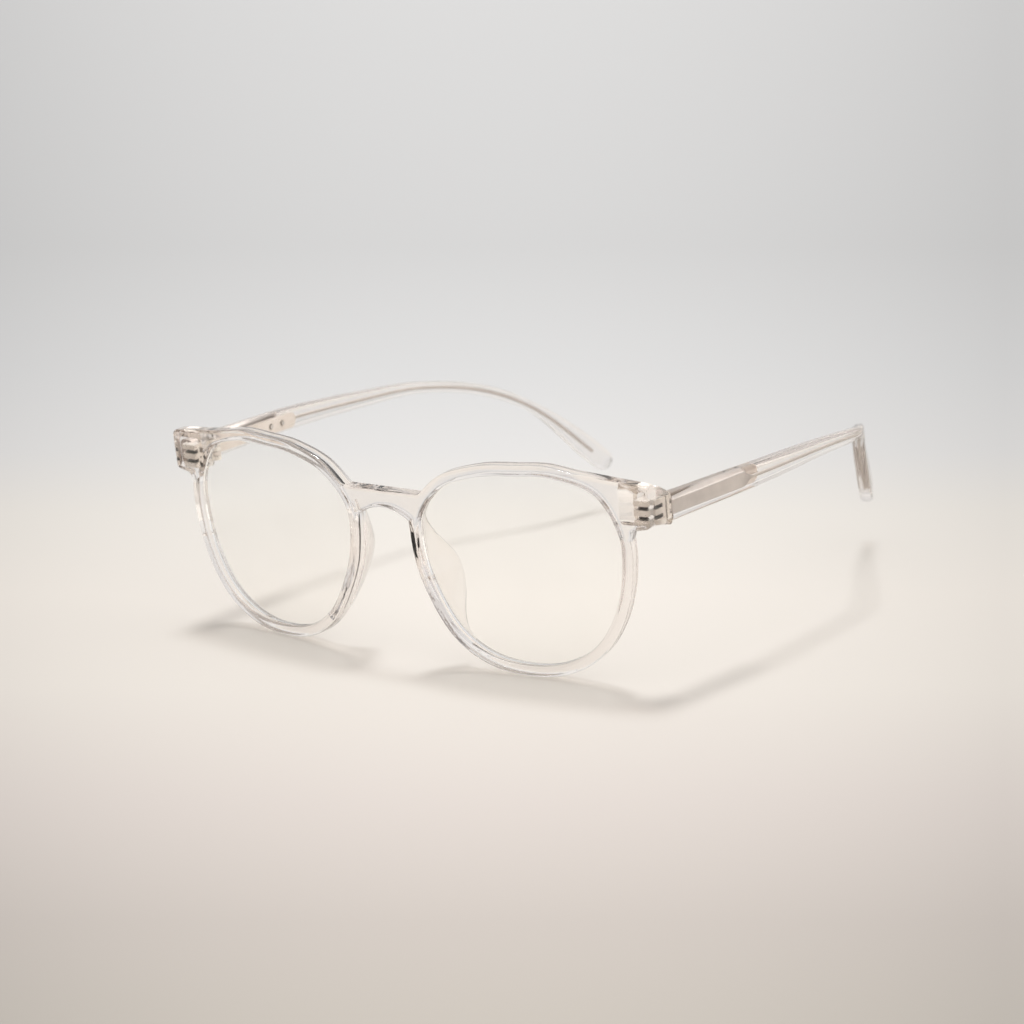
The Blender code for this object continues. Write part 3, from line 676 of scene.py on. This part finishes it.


def clear_plastic(name, tint, absorbed, density, shade, roughness, ior, ripple, shine, outline):
    """Polished clear plastic with a faint body colour, painted shade along its edges, moulding ripple,
    fine rubs and light shadows.
    """
    made = Nodes(name)
    rubs = made.noise(scale=900.0, detail=5.0, roughness=0.65)
    waves = made.noise(scale=90.0, detail=2.0)
    height = made.math("ADD", waves, made.ramp(rubs, low=0.0, high=0.05))
    deeper = (*(c * 0.985 for c in tint), 1.0)
    patches = made.ramp(waves, low=0.0, high=1.0, start=0.35, end=0.65)
    colour = made.mix(patches, (*tint, 1.0), deeper)
    # Painted shade: the colour darkens towards the edge tone where the surface is seen edge-on; outline
    # is its share.
    grazing = made.add("ShaderNodeLayerWeight", Blend=0.5).outputs["Facing"]
    edges = made.ramp(grazing, low=0.0, high=outline, start=0.5, end=0.95)
    colour = made.mix(edges, colour, PAINTED_EDGE_SHADE)
    body = made.add(
        "ShaderNodeBsdfPrincipled",
        Base_Color=colour,
        Roughness=made.ramp(rubs, low=roughness, high=roughness * 2.2, start=0.45, end=0.75),
        IOR=ior,
        Specular_IOR_Level=shine,
        Transmission_Weight=1.0,
        Normal=made.bump(height, strength=ripple, distance=0.0002),
    )
    facing = made.add("ShaderNodeLayerWeight", Blend=0.35).outputs["Facing"]
    light = made.mix(facing, (*shade, 1.0), (*(c * 0.5 for c in shade), 1.0))
    veil = made.add("ShaderNodeBsdfTransparent", Color=light)
    path = made.add("ShaderNodeLightPath")
    unseen = made.math("MAXIMUM", path.outputs["Is Shadow Ray"], path.outputs["Is Diffuse Ray"])
    mixed = made.add("ShaderNodeMixShader", i0=unseen, i1=body.outputs[0], i2=veil.outputs[0])
    made.feed(made.output.inputs["Surface"], mixed.outputs[0])
    soak = made.add("ShaderNodeVolumeAbsorption", Color=(*absorbed, 1.0), Density=density)
    made.feed(made.output.inputs["Volume"], soak.outputs[0])
    return made.material


def metal(name, colour, dark, roughness, lines, metallic=1.0, crevice_shade_reach=0.0):
    """Drawn and lightly tarnished metal, with fine lines along the piece and painted shade in its
    crevices.
    """
    made = Nodes(name)
    drawn = made.add("ShaderNodeMapping", Vector=made.place, Scale=lines).outputs[0]
    grain = made.add(
        "ShaderNodeTexNoise", Vector=drawn, Scale=1400.0, Detail=4.0, Roughness=0.6
    ).outputs["Fac"]
    blotch = made.noise(scale=260.0, detail=4.0, roughness=0.6)
    tarnish = made.ramp(blotch, low=0.0, high=1.0, start=0.35, end=0.7)
    tone = made.mix(tarnish, (*colour, 1.0), (*dark, 1.0))
    # Painted shade: ambient occlusion darkens the colour in crevices, out to the given distance.
    if crevice_shade_reach:
        near = {"samples": 8, "only_local": True}
        open_air = made.add("ShaderNodeAmbientOcclusion", near, Distance=crevice_shade_reach).outputs["AO"]
        tone = made.mix(made.ramp(open_air, low=0.0, high=1.0, start=0.35, end=0.7), PAINTED_CREVICE_SHADE, tone)
    body = made.add(
        "ShaderNodeBsdfPrincipled",
        Base_Color=tone,
        Metallic=metallic,
        Roughness=made.ramp(grain, low=roughness * 0.75, high=roughness * 1.35, start=0.3, end=0.7),
        Normal=made.bump(grain, strength=0.25, distance=0.00003),
    )
    made.feed(made.output.inputs["Surface"], body.outputs[0])
    return made.material


ACETATE = clear_plastic(
    "crystal_acetate",
    tint=(1.0, 0.992, 0.985),
    absorbed=(0.78, 0.69, 0.64),
    density=48.0,
    shade=(0.96, 0.95, 0.94),
    roughness=0.015,
    ior=1.49,
    ripple=0.03,
    shine=0.42,
    outline=0.75,
)
LENS = clear_plastic(
    "filter_lens",
    tint=(1.0, 0.997, 0.985),
    absorbed=(0.95, 0.92, 0.8),
    density=8.0,
    shade=(0.99, 0.985, 0.975),
    roughness=0.008,
    ior=1.5,
    ripple=0.02,
    shine=0.2,
    outline=0.0,
)

ALONG_TEMPLE = (1.0, 0.1, 1.0)              # stretches the fine lines along y
ALONG_SCREW = (1.0, 1.0, 0.1)               # and along z

CORE = metal(
    "core_metal",
    colour=(0.71, 0.65, 0.605),
    dark=(0.64, 0.585, 0.545),
    roughness=0.4,
    lines=(1.0, 0.06, 1.0),
    metallic=0.6,
)
NICKEL = metal(
    "hinge_nickel",
    colour=(0.90, 0.82, 0.76),
    dark=(0.80, 0.72, 0.65),
    roughness=0.34,
    lines=ALONG_TEMPLE,
    metallic=0.8,
)
FOOT = metal(
    "hinge_foot",
    colour=(1.0, 0.95, 0.88),
    dark=(0.93, 0.86, 0.78),
    roughness=0.3,
    lines=ALONG_TEMPLE,
    metallic=0.75,
    crevice_shade_reach=0.0012,
)
STEEL = metal(
    "screw_steel",
    colour=(0.74, 0.70, 0.66),
    dark=(0.56, 0.52, 0.49),
    roughness=0.3,
    lines=ALONG_SCREW,
)


# ---------------------------------------------------------------- the glasses
front = front_acetate()
finish_piece(front, "front", ACETATE, ["front_frame", "nose_pad_left", "nose_pad_right"])
for label, side in (("left", 1), ("right", -1)):
    disc = lens_disc("filter_lens_" + label, side)
    finish_piece(disc, "front", LENS, ["lens_" + label])
    body = label + "_temple"
    arm = temple_acetate("clear_temple_" + label)
    finish_piece(arm, body, ACETATE, ["temple_" + label], side)
    core = wire_core("wire_core_" + label)
    finish_piece(core, body, CORE, ["temple_core_" + label], side)

for node_name, node in frame["nodes"].items():
    if node.hide_render:
        continue
    look = STEEL if "screw" in node_name or "rivet" in node_name else NICKEL
    if "front_hinge" in node_name:
        look = FOOT
    node.data.materials.clear()
    node.data.materials.append(look)
    soften = node.modifiers.new("worn_edges", "BEVEL")
    soften.width = WORN_EDGE
    soften.segments = 2
    soften.limit_method = "ANGLE"
    soften.angle_limit = CREASE


# ---------------------------------------------------------------- floor, light and camera
FLOOR_RADIUS = 6.0

# Painted light and shade in the floor's colour up the picture: warm in front and under the glasses,
# cooler and greyer behind.
PAINTED_FLOOR_LIGHT = (
    (0.0, (0.482, 0.442, 0.394, 1)), (0.1, (0.522, 0.474, 0.434, 1)),
    (0.22, (0.635, 0.578, 0.538, 1)), (0.33, (0.739, 0.691, 0.635, 1)),
    (0.42, (0.763, 0.715, 0.659, 1)), (0.5, (0.718, 0.686, 0.640, 1)),
    (0.56, (0.640, 0.632, 0.624, 1)), (0.64, (0.585, 0.585, 0.585, 1)),
    (0.76, (0.523, 0.523, 0.523, 1)), (1.0, (0.562, 0.562, 0.562, 1)),
)
BRIGHTEST_ACROSS = 0.48                     # where the painted light on the floor is brightest across the picture, as a share
PAINTED_SIDE_SHADE = 0.2                           # painted shade: how much darker the floor is half a picture's width from there
BEYOND_PICTURE = (0.90, 0.86, 0.80, 1)      # the floor that only the glasses' edges look at
PICTURE_EDGE = (0.53, 0.62)                 # blends in here, as shares of the picture from its middle
DARK_SIDE = (-0.81, -0.59, 0.0)             # towards the unlit part of the room, left of the camera
DARK_ROOM = (0.16, 0.145, 0.135, 1)
DARK_ROOM_SHARE = 0.9
DARK_ROOM_EDGE = (0.3, 0.85)                # cosines of the angle from the dark side
PAINTED_DARK_PATCH = (0.20, 0.18, 0.165, 1)         # painted dark patch on the floor left of the picture, seen only through the plastic, where it paints dark streaks
PAINTED_PATCH_EDGE = (0.075, 0.16)                  # metres from the glasses' middle towards the dark side

# The studio round the glasses by height, from level with the floor to overhead.
WORLD_TONES = (
    (0.0, (0.78, 0.765, 0.745, 1)), (0.25, (0.66, 0.65, 0.64, 1)), (0.6, (0.63, 0.62, 0.615, 1)),
    (0.88, (0.67, 0.665, 0.66, 1)), (1.0, (1.0, 0.99, 0.98, 1)),
)
WORLD_STRENGTH = 1.22

# A high, broad sun and a weak soft light from the front left of the glasses.
KEY_TOWARDS = (-0.2, 0.28, 1.0)
KEY_WIDTH = math.radians(12.0)
KEY_STRENGTH = 1.6
FILL_PLACE = (0.9, -0.5, 0.9)
FILL_TARGET = (0.0, 0.05, 0.0)
FILL_SIDE = 0.8
FILL_POWER = 0.75

# The camera, fitted to the photo: metres, degrees and, for the lens, mm on a sensor 36 mm wide.
CAMERA_TARGET = (0.0210, 0.0198, -0.0048)
CAMERA_AZIMUTH = 36.055                     # round towards the wearer's left from straight ahead
CAMERA_ELEVATION = 13.51
CAMERA_ROLL = -2.075
CAMERA_DISTANCE = 0.6726
CAMERA_LENS = 108.06
CAMERA_STOP = 24.0


def colour_ramp(ramp, tones):
    """Sets a colour ramp's stops from (place, colour) pairs, whose ends are at 0 and 1."""
    ramp.elements[0].color = tones[0][1]
    ramp.elements[1].color = tones[-1][1]
    for place, colour in tones[1:-1]:
        ramp.elements.new(place).color = colour


def add_floor(height):
    """A wide pale floor with painted light and shade up and across the picture as the camera sees it, and
    a painted dark patch that only the plastic sees.
    """
    work = bmesh.new()
    bmesh.ops.create_circle(work, cap_ends=True, radius=FLOOR_RADIUS, segments=96)
    mesh = bpy.data.meshes.new("floor")
    work.to_mesh(mesh)
    work.free()
    floor = add_object("floor", mesh)
    floor.location.z = height
    made = Nodes("pale_floor")
    window = made.add("ShaderNodeTexCoord").outputs["Window"]
    split = made.add("ShaderNodeSeparateXYZ", Vector=window)
    # Painted light and shade: the colour follows the point's place in the picture and darkens towards its
    # sides.
    blend = made.add("ShaderNodeValToRGB", Fac=split.outputs[1])
    colour_ramp(blend.color_ramp, PAINTED_FLOOR_LIGHT)
    across = made.off_centre(split.outputs[0], BRIGHTEST_ACROSS)
    up = made.off_centre(split.outputs[1], 0.5)
    side_shade = made.ramp(made.math("POWER", across, 2.0), low=0.0, high=PAINTED_SIDE_SHADE, end=0.5 ** 2)
    tone = made.mix(side_shade, blend.outputs[0], (0.0, 0.0, 0.0, 1.0))
    start, end = PICTURE_EDGE
    outside = made.ramp(made.math("MAXIMUM", across, up), low=0.0, high=1.0, start=start, end=end)
    tone = made.mix(outside, tone, BEYOND_PICTURE)
    aside = made.add(
        "ShaderNodeVectorMath", {"operation": "DOT_PRODUCT"}, i0=made.place, i1=DARK_SIDE
    ).outputs["Value"]
    # Painted reflection: a dark patch that only transmission rays see puts dark streaks into the clear
    # plastic.
    seen = made.add("ShaderNodeLightPath").outputs["Is Transmission Ray"]
    start, end = PAINTED_PATCH_EDGE
    painted_patch = made.math("MULTIPLY", made.ramp(aside, low=0.0, high=1.0, start=start, end=end), seen)
    tone = made.mix(painted_patch, tone, PAINTED_DARK_PATCH)
    grain = made.noise(scale=350.0)
    body = made.add(
        "ShaderNodeBsdfPrincipled",
        Base_Color=tone,
        Roughness=0.7,
        Normal=made.bump(grain, strength=0.04, distance=0.0004),
    )
    made.feed(made.output.inputs["Surface"], body.outputs[0])
    mesh.materials.append(made.material)


def add_key():
    """The sun, unseen through the plastic."""
    lamp = bpy.data.lights.new("key", "SUN")
    lamp.angle = KEY_WIDTH
    lamp.energy = KEY_STRENGTH
    obj = add_object("key", lamp)
    obj.rotation_euler = Vector(KEY_TOWARDS).to_track_quat("Z", "Y").to_euler()
    obj.visible_transmission = False


def add_fill():
    """A square light, unseen through the plastic."""
    lamp = bpy.data.lights.new("fill", "AREA")
    lamp.shape = "SQUARE"
    lamp.size = FILL_SIDE
    lamp.energy = FILL_POWER
    obj = add_object("fill", lamp)
    obj.location = FILL_PLACE
    obj.rotation_euler = (Vector(FILL_TARGET) - Vector(FILL_PLACE)).to_track_quat("-Z", "Y").to_euler()
    obj.visible_transmission = False


def add_world():
    """The studio all round: its tones by height, and its dark side."""
    world = bpy.data.worlds.new("studio")
    world.use_nodes = True
    bpy.context.scene.world = world
    tree = world.node_tree
    place = tree.nodes.new("ShaderNodeTexCoord").outputs["Generated"]
    split = tree.nodes.new("ShaderNodeSeparateXYZ")
    tree.links.new(place, split.inputs[0])
    blend = tree.nodes.new("ShaderNodeValToRGB")
    tree.links.new(split.outputs[2], blend.inputs[0])
    colour_ramp(blend.color_ramp, WORLD_TONES)
    side = tree.nodes.new("ShaderNodeVectorMath")
    side.operation = "DOT_PRODUCT"
    tree.links.new(place, side.inputs[0])
    side.inputs[1].default_value = DARK_SIDE
    share = tree.nodes.new("ShaderNodeMapRange")
    tree.links.new(side.outputs["Value"], share.inputs[0])
    share.inputs[1].default_value = DARK_ROOM_EDGE[0]
    share.inputs[2].default_value = DARK_ROOM_EDGE[1]
    share.inputs[4].default_value = DARK_ROOM_SHARE
    darker = tree.nodes.new("ShaderNodeMix")
    darker.data_type = "RGBA"
    tree.links.new(share.outputs[0], darker.inputs[0])
    tree.links.new(blend.outputs[0], darker.inputs[6])
    darker.inputs[7].default_value = DARK_ROOM
    back = tree.nodes["Background"]
    tree.links.new(darker.outputs[2], back.inputs[0])
    back.inputs[1].default_value = WORLD_STRENGTH


def add_camera(sharpest):
    """The photo's camera, focused on a piece."""
    data = bpy.data.cameras.new("camera")
    data.sensor_width = 36.0
    data.lens = CAMERA_LENS
    data.clip_start = 0.01
    data.dof.use_dof = True
    data.dof.focus_object = sharpest
    data.dof.aperture_fstop = CAMERA_STOP
    obj = add_object("camera", data)
    turn = math.radians(CAMERA_AZIMUTH)
    rise = math.radians(CAMERA_ELEVATION)
    right = Vector((math.cos(turn), math.sin(turn), 0))
    back = Vector((math.sin(turn) * math.cos(rise), -math.cos(turn) * math.cos(rise), math.sin(rise)))
    basis = Matrix((right, back.cross(right), back)).transposed()
    level = basis @ Matrix.Rotation(math.radians(CAMERA_ROLL), 3, "Z")
    place = Vector(CAMERA_TARGET) + back * CAMERA_DISTANCE
    obj.matrix_world = Matrix.Translation(place) @ level.to_4x4()
    bpy.context.scene.camera = obj


add_floor(cad_box[0].z)
add_key()
add_fill()
add_world()
add_camera(front)
scene = bpy.context.scene
scene.view_settings.view_transform = "Standard"
scene.cycles.use_denoising = True
scene.cycles.transparent_max_bounces = 24
scene.cycles.max_bounces = 24
scene.cycles.transmission_bounces = 20
scene.cycles.glossy_bounces = 8
scene.cycles.caustics_refractive = False
scene.cycles.caustics_reflective = False
